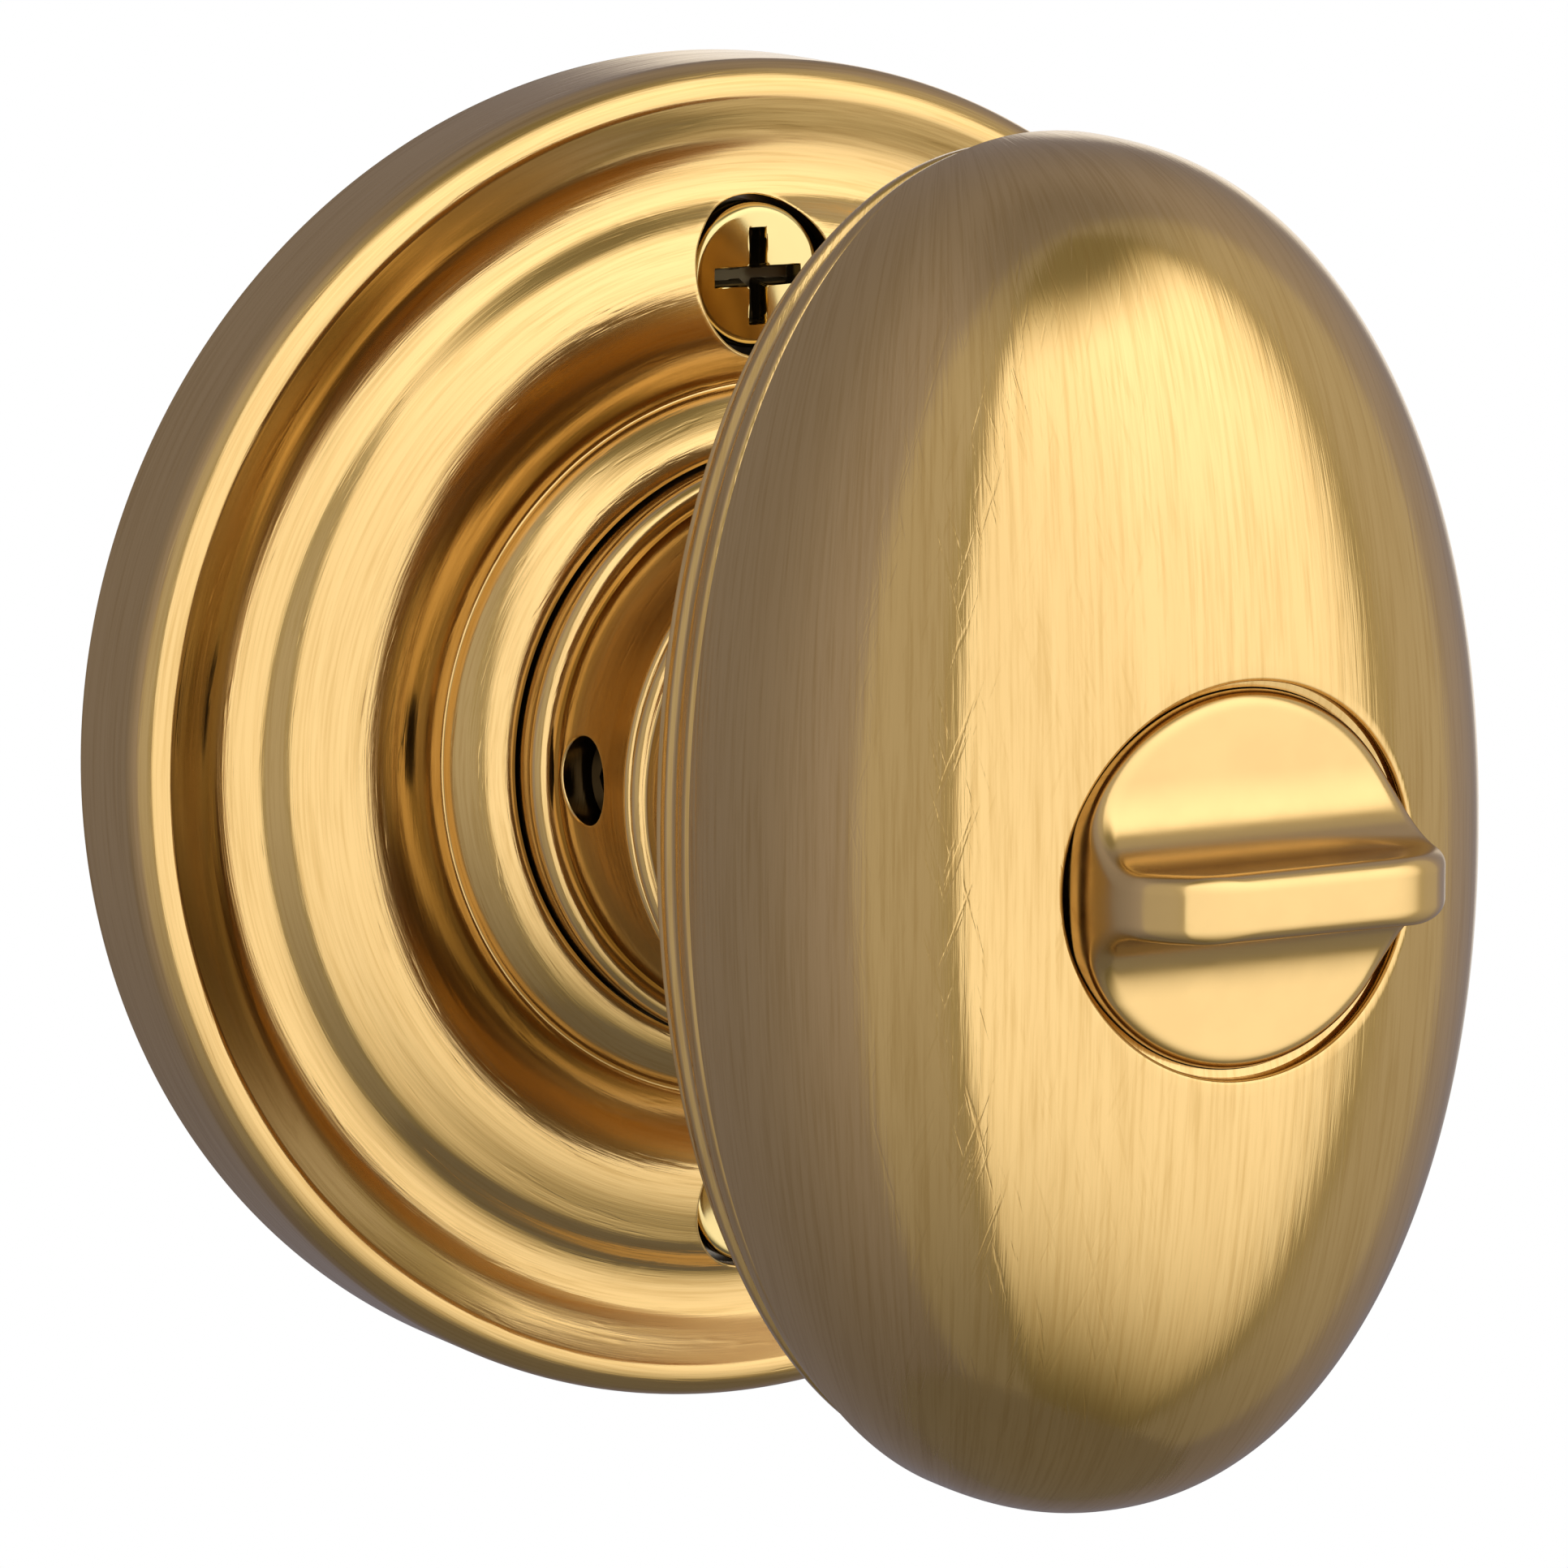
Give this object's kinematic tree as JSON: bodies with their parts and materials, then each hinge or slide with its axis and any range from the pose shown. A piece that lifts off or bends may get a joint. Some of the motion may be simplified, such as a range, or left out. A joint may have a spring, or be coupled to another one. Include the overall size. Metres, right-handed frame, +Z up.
{
  "type": "door knob",
  "caption": "Interior half of a privacy door knob: round moulded rosette, turned neck, oval sprung knob and a thumb turn with a straight grip bar.",
  "frame": {"origin": "centre of the rosette's back face, on the door, midway between the two mounting screws", "axes": "-Y along the knob's axis out into the room, +Z up, +X to the right seen from the room"},
  "size_m": [0.07, 0.1126, 0.07],
  "materials": {
    "satin_brass": "satin, finely brushed",
    "polished_brass": "polished",
    "inner_brass": "as turned",
    "steel": "zinc plated",
    "nylon": "moulded nylon"
  },
  "bodies": {
    "rose": {"rose_cover": "satin_brass", "rose_liner": "steel", "hub_bush": "inner_brass", "mounting_screws": "polished_brass", "stop_pins": "steel", "spring_cup": "steel", "cup_rivets": "steel", "return_spring": "steel"},
    "knob": {"drive_cam": "steel", "knob_hub": "inner_brass", "retaining_ring": "steel", "thrust_washer": "nylon", "spindle": "steel", "knob_neck": "satin_brass", "neck_set_screw": "steel", "neck_nut": "inner_brass", "neck_slip_ring": "nylon", "knob_front_shell": "satin_brass", "knob_rear_shell": "satin_brass", "knob_core": "inner_brass", "turn_guide_cup": "inner_brass", "turn_bush": "nylon", "turn_wave_washer": "steel"},
    "turn": {"turn_piece": "satin_brass", "turn_shaft": "steel", "turn_clip": "steel", "turn_blade": "steel"}
  },
  "joints": [
    {"name": "knob_swing", "type": "hinge", "parent": "rose", "child": "knob", "pos_m": [0, 0, 0], "axis": [0, -1, 0], "range_deg": [-55, 55], "stiffness_Nm_per_rad": 0.35, "deforming": ["return_spring"]},
    {"name": "turn_lock", "type": "hinge", "parent": "knob", "child": "turn", "pos_m": [0, -0.05, 0], "axis": [0, 1, 0], "range_deg": [0, 90]}
  ]
}
